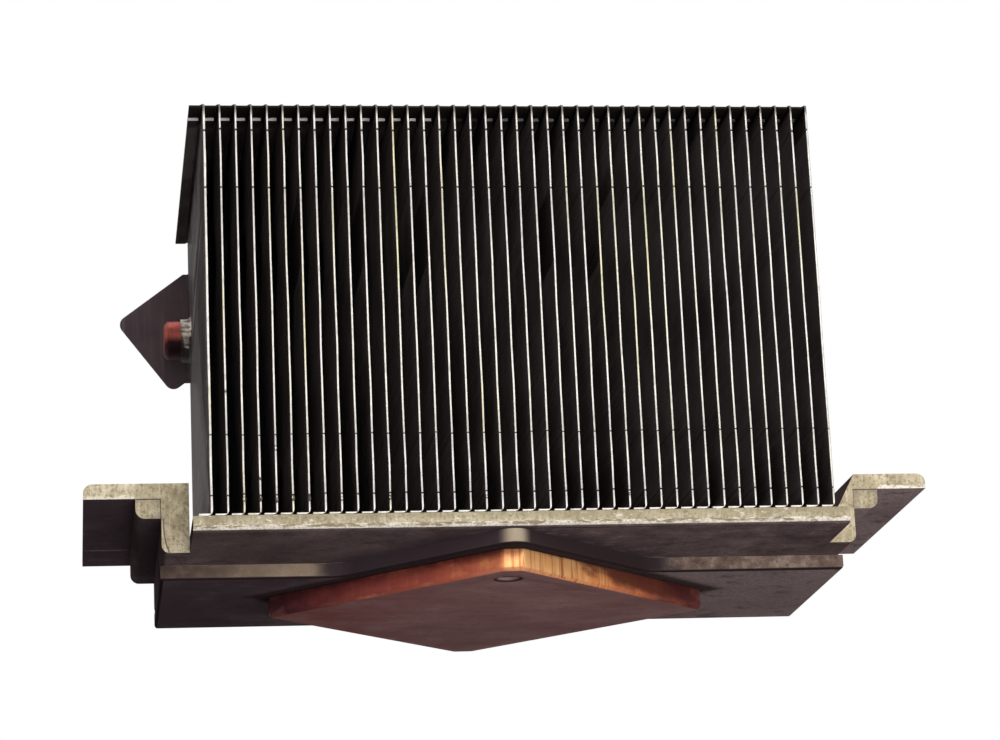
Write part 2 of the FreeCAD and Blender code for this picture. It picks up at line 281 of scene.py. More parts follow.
def cast_skin(look, blotch, grain, lines):
    """Plain cast skin, and on what faces down a darker copy as painted shade, darker still to the left as
    painted shade from light on the right.
    """
    across = look.axis(look.place, "X")
    depth = look.axis(look.place, "Y")
    height = look.axis(look.place, "Z")
    turned = look.axis(look.normal, "X")
    # painted shade: the underside grows darker to the left, as under light from the right, mixed with
    # blotches
    shade_to_left = look.span(across, -UNDER_SHADE_HALF_WIDTH * MM, UNDER_SHADE_HALF_WIDTH * MM)
    shade_to_left = look.calc("ADD", shade_to_left, look.product(look.calc("SUBTRACT", blotch, 0.5), 0.9))
    under = look.ramp(shade_to_left, (0.05, (0.080, 0.055, 0.067)), (0.35, (0.15, 0.108, 0.12)),
                      (0.65, (0.215, 0.162, 0.176)), (1.0, (0.33, 0.248, 0.250)))
    under_plate = look.ramp(blotch, (0.3, (0.115, 0.076, 0.078)), (0.5, (0.155, 0.108, 0.110)),
                            (0.7, (0.20, 0.146, 0.146)))

    # painted shade under the plate beside the pedestal
    spread = look.calc("ADD", look.size_of(across), look.size_of(depth))
    pedestal_shade = look.span(spread, PEDESTAL_REACH * MM, (PEDESTAL_REACH + PEDESTAL_SHADE_REACH) * MM, 0.75, 0.0)
    under_plate = look.blend(pedestal_shade, under_plate, (0.06, 0.041, 0.05))
    under = look.blend(look.near(height, PLATE_UNDER, 0.5), under, under_plate)

    cloud = look.noise((0.28, 0.28, 0.28), detail=5.0, rough=0.7, seed=31.0)
    # worn patches, shown only where the painted shade is light
    worn = look.product(look.span(cloud, 0.50, 0.68, 0.0, 0.75), shade_to_left)
    under = look.blend(worn, under, (0.28, 0.215, 0.205))
    under = look.blend(look.span(cloud, 0.48, 0.32, 0.0, 0.5), under, (0.05, 0.034, 0.037))
    under = look.blend(look.span(grain, 0.35, 0.75, 0.0, 0.45), under, (0.06, 0.043, 0.045))
    scratch = look.product(look.near(depth, SCRATCH_PLACE[1], 0.55), look.near(across, SCRATCH_PLACE[0], 4.2))
    under = look.blend(look.product(scratch, 0.5), under, (0.30, 0.25, 0.25))

    # and a painted contact shadow under the step round the contact plate
    contact_shade = look.span(spread, CONTACT_SHADE_SPREAD[0] * MM, CONTACT_SHADE_SPREAD[1] * MM, 0.85, 0.0)
    contact_shade = look.product(look.near(height, STEP_UNDER, 0.4), contact_shade)
    under = look.blend(contact_shade, under, (0.03, 0.018, 0.019))

    plain = look.ramp(blotch, (0.3, (0.30, 0.265, 0.24)), (0.5, (0.38, 0.34, 0.31)),
                      (0.7, (0.47, 0.425, 0.385)))
    plain = look.blend(look.span(grain, 0.35, 0.75, 0.0, 0.5), plain, (0.20, 0.172, 0.155))
    plain = look.blend(look.span(lines, 0.5, 0.8, 0.0, 0.3), plain, (0.56, 0.52, 0.48))
    # painted shade: what faces down takes the darker copy of the skin
    skin = look.blend(look.span(look.axis(look.normal, "Z"), -0.7, -0.4, 1.0, 0.0), plain, under)

    # painted shade on sides that look towards the middle, and on every side below the ledges
    inward = look.span(look.product(turned, across), -INWARD_FROM[0] * MM, -INWARD_FROM[1] * MM)
    below_ledge = look.span(height, (LEDGE_UNDER - 0.3) * MM, LEDGE_UNDER * MM, 1.0, 0.0)
    low_side = look.product(look.span(look.size_of(turned), 0.3, 0.6), below_ledge)
    side_shade = look.ramp(blotch, (0.3, (0.05, 0.032, 0.034)), (0.7, (0.11, 0.078, 0.078)))
    return look.blend(look.calc("MAXIMUM", inward, low_side), skin, side_shade)


def sawn_ends(look, patches, pits):
    """Pale sawn metal: olive and chipped on the plate, with a bright lower rim on the wings."""
    across = look.axis(look.place, "X")
    depth = look.axis(look.place, "Y")
    height = look.axis(look.place, "Z")
    streaks = look.noise((2.2, 1.0, 0.3), detail=3.0, seed=11.0)
    sawn = look.ramp(patches, (0.30, (0.36, 0.30, 0.19)), (0.5, (0.52, 0.45, 0.31)),
                     (0.70, (0.70, 0.61, 0.45)))
    sawn = look.blend(look.span(pits, 0.46, 0.66, 0.0, 0.85), sawn, (0.23, 0.175, 0.105))
    sawn = look.blend(look.span(streaks, 0.50, 0.74, 0.0, 0.45), sawn, (0.86, 0.79, 0.65))
    on_plate = look.span(depth, (PLATE_FRONT + 2.0) * MM, (PLATE_FRONT + 1.0) * MM)
    olive = look.span(height, OLIVE_HEIGHT[0] * MM, OLIVE_HEIGHT[1] * MM, 0.1, 0.55)
    sawn = look.blend(look.product(on_plate, olive), sawn, (0.27, 0.235, 0.15))
    chips = look.noise((0.95, 0.8, 1.9), detail=5.0, rough=0.7, seed=21.0)
    chipped = look.product(on_plate, look.span(chips, 0.58, 0.70, 0.0, 0.8))
    sawn = look.blend(chipped, sawn, (0.84, 0.79, 0.70))

    # the rim runs from each rib outwards
    left_rim = look.span(across, RIBS[0][0] * MM, (RIBS[0][0] - 0.3) * MM, 0.0, 0.6)
    right_rim = look.span(across, RIBS[1][1] * MM, (RIBS[1][1] + 0.3) * MM, 0.0, 0.8)
    ragged = look.product(look.calc("SUBTRACT", chips, 0.5), RIM_RAGGED * MM)
    rim = look.near(look.calc("ADD", height, ragged), LEDGE_UNDER + 0.05, RIM_REACH)
    rim = look.product(rim, look.calc("ADD", left_rim, right_rim))
    sawn = look.blend(rim, sawn, (0.95, 0.88, 0.78))

    # painted shade: the dark line down the left upright
    down = look.product(look.calc("SUBTRACT", RIB_UNDER * MM, height), 1.0 / MM)
    bow = look.product(look.calc("POWER", down, 3.0), CREASE_BOW * MM)
    crease = look.near(look.calc("SUBTRACT", across, bow), RIBS[0][1] + CREASE_INSET, 0.17)
    crease = look.product(crease, look.span(down, -0.1, 0.1, 0.0, 0.8))
    return look.blend(crease, sawn, (0.09, 0.066, 0.05))


def step_front(look, facing, patches, pits):
    """Upright faces of the step, which kept a dark skin: dull in front, with painted shade on the turned
    sides and at their roots, and a painted highlight at the near corner."""
    across = look.axis(look.place, "X")
    depth = look.axis(look.place, "Y")
    tone = look.ramp(patches, (0.36, (0.13, 0.087, 0.070)), (0.5, (0.24, 0.170, 0.140)),
                     (0.64, (0.42, 0.325, 0.265)))
    tone = look.blend(look.span(pits, 0.5, 0.66, 0.0, 0.65), tone, (0.12, 0.086, 0.074))
    # painted shade on the turned sides and at their roots
    root = look.span(look.size_of(across), STEP_ROOT[0] * MM, STEP_ROOT[1] * MM, 1.0, 0.0)
    turned = look.calc("MAXIMUM", look.span(facing, 0.73, 0.998, 1.0, 0.0), root)
    to_right = look.span(look.axis(look.normal, "X"), -0.4, 0.4)
    shaded = look.blend(to_right, (0.075, 0.052, 0.062), (0.050, 0.034, 0.036))
    tone = look.blend(turned, tone, shaded)
    lengthwise = look.span(across, STEP_LEFT_FADE[0] * MM, STEP_LEFT_FADE[1] * MM)
    left_tone = look.blend(lengthwise, (0.075, 0.05, 0.042), (0.52, 0.41, 0.29))
    left_front = look.product(look.span(across, 0.0, -MM), look.span(turned, 0.0, 1.0, 0.65, 0.0))
    tone = look.blend(left_front, tone, left_tone)
    # painted highlight at the near corner
    corner_highlight = look.product(look.near(across, 0.0, CORNER_HIGHLIGHT_REACH), look.span(depth, 0.0, -MM))
    return look.blend(corner_highlight, tone, (0.41, 0.335, 0.25))


def cast_metal():
    """The casting: pale sawn metal on its front and rear ends, a duller mottled skin elsewhere."""
    look = Look("cast_metal", Metallic=0.3, Specular_IOR_Level=0.0, Specular_Tint=(0.05, 0.035, 0.04, 1.0))
    height = look.axis(look.place, "Z")
    facing = look.size_of(look.axis(look.normal, "Y"))
    level = look.size_of(look.axis(look.normal, "Z"))
    blotch = look.noise((0.09, 0.09, 0.09), detail=4.0)
    grain = look.noise((1.6, 1.6, 1.6), detail=5.0, rough=0.7, seed=3.0)
    lines = look.noise((0.5, 0.03, 0.5), detail=3.0, seed=5.0)
    patches = look.noise((0.35, 0.35, 0.35), detail=4.0, rough=0.65, seed=14.0)
    pits = look.noise((2.2, 2.2, 2.2), detail=4.0, rough=0.75, seed=7.0)
    skin = cast_skin(look, blotch, grain, lines)
    metal = look.blend(look.span(facing, 0.82, 0.98), skin, sawn_ends(look, patches, pits))
    on_step = look.span(height, PLATE_UNDER * MM - 2 * TOUCH, PLATE_UNDER * MM - TOUCH, 1.0, 0.0)
    upright = look.product(on_step, look.span(level, 0.35, 0.6, 1.0, 0.0))
    metal = look.blend(upright, metal, step_front(look, facing, patches, pits))
    # painted shade: the rounded lower edge of the step is nearly black
    turned_under = look.product(look.span(level, 0.3, 0.55), look.span(level, 0.93, 0.985, 1.0, 0.0))
    look.colour(look.blend(look.product(on_step, turned_under), metal, (0.03, 0.02, 0.022)))
    look.roughness(look.span(grain, 0.2, 0.8, 0.45, 0.68))
    look.bump(look.calc("ADD", look.calc("SUBTRACT", grain, pits), lines), 0.6, 0.06)
    return look.material


def burr_metal():
    """Rolled-over lower edge of the sawn ends: torn bright metal with dull gaps."""
    look = Look("burr_metal", Metallic=0.3, Specular_IOR_Level=0.3)
    lumps = look.noise((0.5, 1.7, 1.7), detail=5.0, rough=0.72, seed=2.0)
    height = look.axis(look.place, "Z")
    low_down = look.span(height, BURR_HEIGHT[0] * MM, BURR_HEIGHT[1] * MM, 0.1, -0.02)
    lumps = look.calc("ADD", lumps, low_down)
    grain = look.noise((2.6, 2.6, 2.6), detail=4.0, rough=0.7)
    bright = look.ramp(grain, (0.35, (0.58, 0.51, 0.40)), (0.62, (0.95, 0.89, 0.79)))
    look.colour(look.blend(look.span(lumps, 0.42, 0.54), (0.31, 0.255, 0.165), bright))
    look.roughness(look.span(grain, 0.2, 0.8, 0.35, 0.6))
    look.bump(look.calc("ADD", grain, lumps), 0.9, 0.15)
    return look.material


def crease_metal():
    """Dark line round the front of each rib: painted shade in the step."""
    look = Look("crease_metal", Metallic=0.2, Specular_IOR_Level=0.1)
    grain = look.noise((1.8, 1.8, 1.8), detail=4.0)
    look.colour(look.ramp(grain, (0.35, (0.05, 0.036, 0.03)), (0.7, (0.14, 0.105, 0.08))))
    look.roughness(look.span(grain, 0.2, 0.8, 0.6, 0.8))
    return look.material


def shaded_fin_face():
    """Rolled sheet of the fins: aluminium darkened as painted shade, with rolling lines and dust."""
    look = Look("shaded_fin_face", Metallic=0.25, Specular_IOR_Level=0.0, Specular_Tint=DULL_GLINT)
    dust = look.noise((0.10, 0.10, 0.10), detail=4.0)
    rolled = look.noise((1.0, 0.04, 1.8), detail=3.0, seed=2.0)
    tone = look.ramp(dust, (0.3, (0.075, 0.060, 0.061)), (0.7, (0.135, 0.114, 0.112)))
    tone = look.blend(look.span(rolled, 0.45, 0.8, 0.0, 0.35), tone, (0.19, 0.165, 0.16))
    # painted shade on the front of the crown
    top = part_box("fin_02")[1].z
    crown = look.span(look.axis(look.place, "Z"), top - CROWN_SHADE[0] * MM, top - CROWN_SHADE[1] * MM)
    front = look.span(look.axis(look.place, "Y"), CROWN_SHADE_FRONT[0] * MM, CROWN_SHADE_FRONT[1] * MM)
    not_on_top = look.span(look.axis(look.normal, "Z"), 0.3, 0.7, 0.9, 0.0)
    crown_shade = look.product(look.product(crown, front), not_on_top)
    look.colour(look.blend(crown_shade, tone, (0.012, 0.009, 0.009)))
    look.roughness(look.span(dust, 0.25, 0.75, 0.42, 0.62))
    look.bump(rolled, 0.35, 0.02)
    return look.material


def fin_skin():
    """Open faces of the stack, its two ends and its top: the same rolled sheet without the painted shade of
    the inner faces, with a sheen.
    """
    look = Look("fin_skin", Metallic=0.35, Specular_IOR_Level=0.0, Specular_Tint=(0.012, 0.009, 0.01, 1.0))
    dust = look.noise((0.08, 0.08, 0.08), detail=4.0)
    rolled = look.noise((1.4, 0.035, 1.4), detail=4.0, rough=0.6, seed=2.0)
    tone = look.ramp(dust, (0.3, (0.235, 0.208, 0.203)), (0.7, (0.35, 0.315, 0.31)))
    tone = look.blend(look.span(rolled, 0.40, 0.75, 0.0, 0.5), tone, (0.45, 0.41, 0.405))
    look.colour(tone)
    look.roughness(look.span(dust, 0.25, 0.75, 0.24, 0.36))
    look.bump(rolled, 0.35, 0.02)
    return look.material


def tab_end():
    """Front ends of the lock tabs: bright on the left of the stack, then dark, mid and dim towards the right.
    """
    look = Look("tab_end", Metallic=0.2, Specular_IOR_Level=0.3)
    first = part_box("fin_01")[1].x
    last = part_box(f"fin_{FIN_COUNT:02d}")[1].x
    pitch = (last - first) / (FIN_COUNT - 1)
    along = look.add("ShaderNodeMapRange")
    look.plug(along.inputs["Value"], look.axis(look.place, "X"))
    along.inputs["From Min"].default_value = first - pitch
    along.inputs["From Max"].default_value = last
    bright = (0.95, 0.90, 0.88)
    mid = (0.30, 0.26, 0.26)
    dim = (0.12, 0.10, 0.10)
    dark = (0.03, 0.025, 0.025)
    # places counted in fins from the left
    stops = ((15.8, bright), (16.0, dark), (18.9, dark), (19.1, mid), (24.5, mid), (26.0, dim))
    look.colour(look.ramp(along.outputs["Result"], *[(fin / FIN_COUNT, tone) for fin, tone in stops]))
    look.roughness(look.span(look.noise((1.0, 1.0, 1.0)), 0.3, 0.7, 0.3, 0.5))
    return look.material


def lug_face():
    """The bent lug: the same sheet, darkened as painted shade, with faint upright streaks."""
    look = Look("lug_face", Metallic=0.3, Specular_IOR_Level=0.05, Specular_Tint=DULL_GLINT)
    streaks = look.noise((1.1, 1.0, 0.06), detail=3.0, seed=5.0)
    cloud = look.noise((0.16, 0.2, 0.16), detail=3.0, seed=1.0)
    tone = look.ramp(cloud, (0.3, (0.072, 0.05, 0.058)), (0.7, (0.125, 0.094, 0.102)))
    look.colour(look.blend(look.span(streaks, 0.5, 0.8, 0.0, 0.4), tone, (0.20, 0.16, 0.165)))
    look.roughness(look.span(cloud, 0.2, 0.8, 0.5, 0.7))
    look.bump(streaks, 0.3, 0.03)
    return look.material


def fin_edge():
    """Sheared fin edges: bright metal, cream on some fins, with painted shade close to the top fold."""
    look = Look("fin_edge", Metallic=0.25, Specular_IOR_Level=0.3)
    tint = look.noise((0.31, 0.02, 0.028), detail=2.0, rough=0.6, seed=4.0)
    scuffs = look.noise((1.2, 1.2, 0.8), detail=4.0, rough=0.65, seed=9.0)
    tone = look.ramp(tint, (0.38, (0.80, 0.77, 0.74)), (0.55, (0.84, 0.82, 0.77)),
                     (0.66, (0.76, 0.72, 0.46)))
    tone = look.blend(look.span(scuffs, 0.46, 0.74, 0.0, 0.6), tone, (0.42, 0.38, 0.33))
    height = look.axis(look.place, "Z")
    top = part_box("fin_02")[1].z
    # painted shade close to the top fold
    dull = look.span(height, top - EDGE_FOLD_SHADE[0] * MM, top - EDGE_FOLD_SHADE[1] * MM, 0.0, 0.92)
    look.colour(look.blend(dull, tone, (0.10, 0.085, 0.08)))
    look.roughness(look.span(scuffs, 0.2, 0.8, 0.3, 0.5))
    return look.material


def collar_metal():
    """Bright drawn collar round the pipe, with painted shade on its lower half."""
    look = Look("collar_metal", Metallic=0.4, Specular_IOR_Level=0.2)
    grain = look.noise((0.5, 1.6, 1.6), detail=3.0)
    tone = look.ramp(grain, (0.38, (0.20, 0.16, 0.145)), (0.62, (0.95, 0.84, 0.75)))
    # painted shade on the lower half
    lower_half_shade = look.span(look.axis(look.normal, "Z"), -0.1, 0.45, 0.97, 0.0)
    look.colour(look.blend(lower_half_shade, tone, (0.022, 0.016, 0.017)))
    look.roughness(look.span(grain, 0.2, 0.8, 0.35, 0.55))
    look.bump(grain, 0.4, 0.04)
    return look.material


def copper_sides(look, far, streaks, stain):
    """Milled sides: a painted highlight near the front corner, brighter on the right side, with milling
    streaks drawn as painted glints and dark lines there, and darker above.
    """
    height = look.axis(look.place, "Z")
    tilt = look.axis(look.normal, "Z")
    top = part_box("copper_plate")[1].z
    # painted highlight: bright near the front corner, fading to the far corners, brighter on the right side
    right_side = look.span(look.axis(look.normal, "X"), -0.35, 0.3)
    lit_side = look.ramp(far, (0.03, (1.0, 0.56, 0.23)), (0.20, (0.97, 0.35, 0.12)),
                            (0.34, (0.70, 0.20, 0.10)), (0.42, (0.17, 0.045, 0.05)),
                            (0.62, (0.42, 0.15, 0.10)))
    shaded_side = look.ramp(far, (0.01, (0.95, 0.36, 0.14)), (0.08, (0.66, 0.155, 0.095)),
                          (0.24, (0.40, 0.085, 0.072)), (0.46, (0.065, 0.02, 0.028)),
                          (0.62, (0.42, 0.15, 0.10)))
    side = look.blend(right_side, shaded_side, lit_side)
    # milling streaks near the front corner, as painted glints and dark lines
    close = look.product(look.span(far, 0.14, 0.36, 1.0, 0.1), look.span(right_side, 0.0, 1.0, 0.12, 1.0))
    dark_streak = look.product(look.span(streaks, 0.53, 0.63, 0.0, 0.85), close)
    side = look.blend(dark_streak, side, (0.34, 0.085, 0.04))
    light_streak = look.product(look.span(streaks, 0.47, 0.37, 0.0, 0.85), close)
    side = look.blend(light_streak, side, (1.0, 0.62, 0.28))

    # darker along the top, and on the right a darker part slants down from the near corner to the far one
    top_darkening = look.product(look.span(height, 0.45 * top, 0.95 * top), look.span(stain, 0.3, 0.6, 0.35, 0.85))
    top_darkening = look.product(top_darkening, look.span(right_side, 0.0, 1.0, 1.0, 0.0))
    slant = look.calc("SUBTRACT", height, look.span(far, 0.0, 0.37, 0.92 * top, -0.15 * top))
    slanting = look.product(look.span(slant, 0.0, 0.5 * top, 0.0, 0.85), right_side)
    slanting = look.product(slanting, look.span(far, 0.47, 0.55, 1.0, 0.3))
    side = look.blend(look.calc("ADD", top_darkening, slanting), side, (0.10, 0.026, 0.026))

    worn_edge = look.product(look.span(tilt, -0.15, -0.4), look.span(stain, 0.45, 0.62, 0.1, 0.65))
    worn_edge = look.product(worn_edge, look.span(far, 0.30, 0.44, 1.0, 0.15))
    return look.blend(worn_edge, side, (0.80, 0.33, 0.20))


def contact_copper():
    """Contact plate: milled copper sides with a painted highlight that darkens to the far corners, and a dull
    smeared face.
    """
    look = Look("contact_copper", Metallic=0.4, Specular_IOR_Level=0.15,
                Specular_Tint=(0.4, 0.25, 0.2, 1.0))
    streaks = look.noise((1.5, 1.5, 0.05), detail=4.0, rough=0.7)
    stain = look.noise((0.16, 0.16, 0.3), detail=4.0, rough=0.6, seed=6.0)
    smear = look.noise((0.09, 0.16, 0.3), detail=5.0, rough=0.68, seed=8.0)
    fleck = look.noise((0.9, 0.9, 0.9), detail=4.0, rough=0.75, seed=12.0)
    across = look.axis(look.place, "X")
    height = look.axis(look.place, "Z")
    # from the near corner, 0, past the left and right corners, 0.5, to the rear one, 1
    far = look.add("ShaderNodeMapRange")
    look.plug(far.inputs["Value"], look.axis(look.place, "Y"))
    far.inputs["From Min"].default_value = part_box("copper_plate")[0].y
    far.inputs["From Max"].default_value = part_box("copper_plate")[1].y
    uneven = look.product(look.calc("SUBTRACT", stain, 0.5), 0.35)
    far = look.calc("ADD", far.outputs["Result"], uneven)
    side = copper_sides(look, far, streaks, stain)

    face = look.ramp(smear, (0.3, (0.27, 0.145, 0.143)), (0.52, (0.325, 0.19, 0.187)),
                     (0.74, (0.40, 0.262, 0.25)))
    face = look.blend(look.span(fleck, 0.52, 0.74, 0.0, 0.65), face, (0.17, 0.085, 0.085))
    to_left = look.span(across, REDDER_FACE[0] * MM, REDDER_FACE[1] * MM)
    redder = look.product(to_left, look.span(stain, 0.3, 0.6))
    face = look.blend(look.product(redder, 0.7), face, (0.25, 0.075, 0.07))

    # dirt round the rim of the dimple, and its cleaner floor
    from_dimple = look.add("ShaderNodeVectorMath", operation="DISTANCE")
    look.plug(from_dimple.inputs[0], look.place)
    from_dimple.inputs[1].default_value = Vector(DIMPLE_PLACE) * MM
    out = from_dimple.outputs["Value"]
    dirt = look.near(out, DIMPLE_RADIUS, 0.5)
    face = look.blend(dirt, face, DIMPLE_DIRT)
    rim = look.product(dirt, look.span(height, 0.12 * MM, 0.3 * MM, 1.0, 0.0))
    side = look.blend(look.near(out, DIMPLE_RADIUS, 0.6), side, (0.40, 0.275, 0.255))
    side = look.blend(rim, side, DIMPLE_DIRT)
    floor = look.span(out, (DIMPLE_RADIUS - 0.55) * MM, (DIMPLE_RADIUS - 0.35) * MM, 1.0, 0.0)
    face = look.blend(floor, face, (0.42, 0.29, 0.27))
    below = look.span(look.axis(look.normal, "Z"), -0.98, -0.9, 1.0, 0.0)
    look.colour(look.blend(below, side, face))
    look.roughness(look.span(look.calc("ADD", fleck, below), 0.3, 1.6, 0.34, 0.62))
    look.bump(look.calc("ADD", streaks, look.product(smear, 0.5)), 0.35, 0.03)
    return look.material


def pipe_copper():
    """Drawn copper pipe, reddish, with fine rings, tarnish, and painted shade on its lower half."""
    look = Look("pipe_copper", Metallic=0.4, Specular_IOR_Level=0.2, Specular_Tint=(0.5, 0.3, 0.25, 1.0))
    rings = look.noise((3.0, 0.1, 0.1), detail=3.0)
    stain = look.noise((0.35, 0.35, 0.35), detail=4.0, seed=3.0)
    tone = look.ramp(stain, (0.3, (0.20, 0.045, 0.04)), (0.55, (0.42, 0.095, 0.075)),
                     (0.8, (0.62, 0.22, 0.15)))
    tone = look.blend(look.span(rings, 0.5, 0.8, 0.0, 0.4), tone, (0.62, 0.26, 0.18))
    # painted shade on the lower half
    lower_half_shade = look.span(look.axis(look.normal, "Z"), -0.35, 0.1, 0.97, 0.0)
    look.colour(look.blend(lower_half_shade, tone, (0.014, 0.008, 0.011)))
    look.roughness(look.span(stain, 0.2, 0.8, 0.32, 0.52))
    look.bump(rings, 0.3, 0.02)
    return look.material


def form_of(node):
    """The node's own form, welded and with its flat faces made whole again."""
    work = bmesh.new()
    work.from_mesh(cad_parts[node].data)
    bmesh.ops.remove_doubles(work, verts=work.verts, dist=WELD)
    bmesh.ops.dissolve_limit(work, angle_limit=FLAT_ANGLE, verts=work.verts, edges=work.edges)
    return work


def soften(work, edges, width, steps):
    """Round the given edges over."""
    bmesh.ops.bevel(work, geom=edges, offset=width * MM, segments=steps, profile=0.5,
                    affect="EDGES", clamp_overlap=True)


def is_sharp(edge):
    return edge.calc_face_angle(0.0) > SHARP_ANGLE


def sharp_edges(work):
    return [edge for edge in work.edges if len(edge.link_faces) == 2 and is_sharp(edge)]


def edges_at(work, **places):
    """Edges that lie on the given planes, such as y=-34 and z=5.2 in millimetres."""
    found = []
    for edge in work.edges:
        if all(abs(getattr(vert.co, axis) - place * MM) < TOUCH
               for axis, place in places.items() for vert in edge.verts):
            found.append(edge)
    return found


def finish_piece(work, name, materials, choose, node):
    """Turn a form into a shown piece that stands for its node."""
    mesh = bpy.data.meshes.new(name)
    bmesh.ops.recalc_face_normals(work, faces=work.faces)
    for face in work.faces:
        face.material_index = choose(face)
        face.smooth = True
    work.to_mesh(mesh)
    work.free()
    mesh.set_sharp_from_angle(angle=SHARP_ANGLE)
    for material in materials:
        mesh.materials.append(material)
    piece = bpy.data.objects.new(name, mesh)
    bpy.context.scene.collection.objects.link(piece)
    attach(piece, "root")
    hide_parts(node)


def cut_rows(work, heights):
    """Cut the form at each height."""
    for height in heights:
        bmesh.ops.bisect_plane(work, geom=work.verts[:] + work.edges[:] + work.faces[:],
                               plane_co=(0, 0, height * MM), plane_no=(0, 0, 1))


def bend_flange(work, high, pitch):
    """Let the flange fall to its own level close to the fold, which leaves a small bead along the fold."""
    bend = high.x - (FIN_SHEET + FLANGE_BEND) * MM
    for place in (bend, high.x - FIN_SHEET * MM - 2 * TOUCH):
        bmesh.ops.bisect_plane(work, geom=work.verts[:] + work.edges[:] + work.faces[:],
                               plane_co=(place, 0, 0), plane_no=(1, 0, 0))
    own_fall = FLANGE_DROP * (high.x - bend) / pitch
    for vert in work.verts:
        if vert.co.x > bend + TOUCH or vert.co.z < high.z - CROWN_DEPTH * MM:
            continue
        fall = own_fall if vert.co.x > bend - TOUCH else FLANGE_DROP
        vert.co.z += (fall - FLANGE_LEVEL) * MM


def mark_front_edge(work, low, high, chance):
    """Cut small nicks into the front edge where the tool held it, and let the edge wave a little."""
    rows = {high.z / MM - 1.5 * FIN_SHEET: (0.0, 0.0)}
    for height, depth, step_height in FIN_MARKS:
        level = height + chance.uniform(-MARK_JITTER, MARK_JITTER)
        cut = depth * chance.uniform(*MARK_CUT_RANGE)
        second_cut = MARK_SECOND_CUT * cut
        steps = ((-1.5, 0.0, 0.0), (-0.5, cut, 0.0), (0.5, second_cut, MARK_SIDE_SHIFT), (1.5, 0.0, 0.0))
        for step, push, shift in steps:
            rows[level + step * step_height] = (push, shift)
    for height in EDGE_WAVE_STEPS:
        rows[height] = (0.0, chance.uniform(-EDGE_WAVE, EDGE_WAVE))
    cut_rows(work, rows)
    for vert in work.verts:
        if vert.co.y > low.y + MARK_ZONE * MM or vert.co.x < high.x - 2 * FIN_SHEET * MM:
            continue
        for height, (push, shift) in rows.items():
            if abs(vert.co.z - height * MM) < TOUCH:
                vert.co.y += push * MM
                vert.co.x += shift * MM


def add_lock_tab(work, high, pitch):
    """The tongue pressed down under the flange."""
    reach = (high.x - pitch + 3 * TOUCH, high.x - TAB_GAP * MM)
    under = high.z - (FIN_SHEET + FLANGE_LEVEL) * MM
    corners = []
    for y in (TAB_FRONT, TAB_REAR):
        for x in reach:
            for z in (under + 3 * TOUCH, under - TAB_DEPTH * MM):
                corners.append(work.verts.new((x, y * MM, z)))
    for loop in ((0, 1, 3, 2), (4, 6, 7, 5), (0, 4, 5, 1), (2, 3, 7, 6), (0, 2, 6, 4), (1, 5, 7, 3)):
        work.faces.new([corners[i] for i in loop])


def add_drop(work, place, size, chance):
    """A small lump of metal on the edge."""
    made = bmesh.ops.create_icosphere(work, subdivisions=2, radius=size * MM)["verts"]
    stretch = Vector((chance.uniform(0.8, 1.1), chance.uniform(0.7, 0.9), chance.uniform(1.1, 2.0)))
    for vert in made:
        rough = 1.0 + chance.uniform(-0.12, 0.12)
        vert.co = Vector(place) + Vector([part * scale * rough for part, scale in zip(vert.co, stretch)])


FACE, EDGE, COLLAR, LUG, TAB, SKIN = range(6)


def build_fins(looks):
    """All the fins, each from its own node."""
    chance = random.Random(7)
    pipe_low, pipe_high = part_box("heat_pipe")
    axis_y = (pipe_low.y + pipe_high.y) / 2
    axis_z = (pipe_low.z + pipe_high.z) / 2
    collar_reach = (pipe_high.z - pipe_low.z) / 2 + COLLAR_WALL * MM
    pitch = (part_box("fin_03")[1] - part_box("fin_02")[1]).x
    for number in range(1, FIN_COUNT + 1):
        node = f"fin_{number:02d}"
        low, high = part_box(node)
        web_left = high.x - FIN_SHEET * MM
        lug_front = high.y - LUG_DEPTH * MM
        work = form_of(node)
        soften(work, edges_at(work, x=high.x / MM, z=high.z / MM), FOLD_ROUNDING, 4)
        ends = edges_at(work, y=low.y / MM) + edges_at(work, y=high.y / MM)
        soften(work, [edge for edge in ends if is_sharp(edge)], FIN_EDGE_ROUNDING, 2)
        bend_flange(work, high, pitch)
        mark_front_edge(work, low, high, chance)
        add_lock_tab(work, high, pitch)
        for fin, height, size in DROPS:
            if fin == number:
                place = ((web_left + high.x) / 2, low.y + DROP_INSET * MM, height * MM)
                add_drop(work, place, size, chance)

        def choose(face):
            """Which material a face of this fin shows."""
            middle = face.calc_center_median()
            left_of_web = middle.x < web_left - TOUCH
            if number == 1 and left_of_web:
                from_pipe = math.hypot(middle.y - axis_y, middle.z - axis_z)
                if from_pipe < collar_reach and middle.y < lug_front:
                    return COLLAR
                if middle.y > lug_front and LUG_LOW * MM < middle.z < high.z - LUG_BELOW_TOP * MM:
                    return LUG
            in_crown = middle.z > high.z - CROWN_DEPTH * MM
            if in_crown and face.normal.z > 0.4:
                return SKIN
            if in_crown and left_of_web:
                return TAB if abs(middle.y - TAB_FRONT * MM) < TOUCH else FACE
            if (number == 1 and face.normal.x < -0.9) or (number == FIN_COUNT and face.normal.x > 0.9):
                return SKIN
            at_end = middle.y < low.y + EDGE_ZONE_FRONT * MM or middle.y > high.y - EDGE_ZONE_REAR * MM
            return EDGE if at_end and abs(face.normal.y) > EDGE_FACING else FACE

        finish_piece(work, f"fin_sheet_{number:02d}", looks, choose, node)


def on_wing_front(face):
    return face.normal.y < -0.99 and abs(face.calc_center_median().y - WING_FRONT * MM) < TOUCH


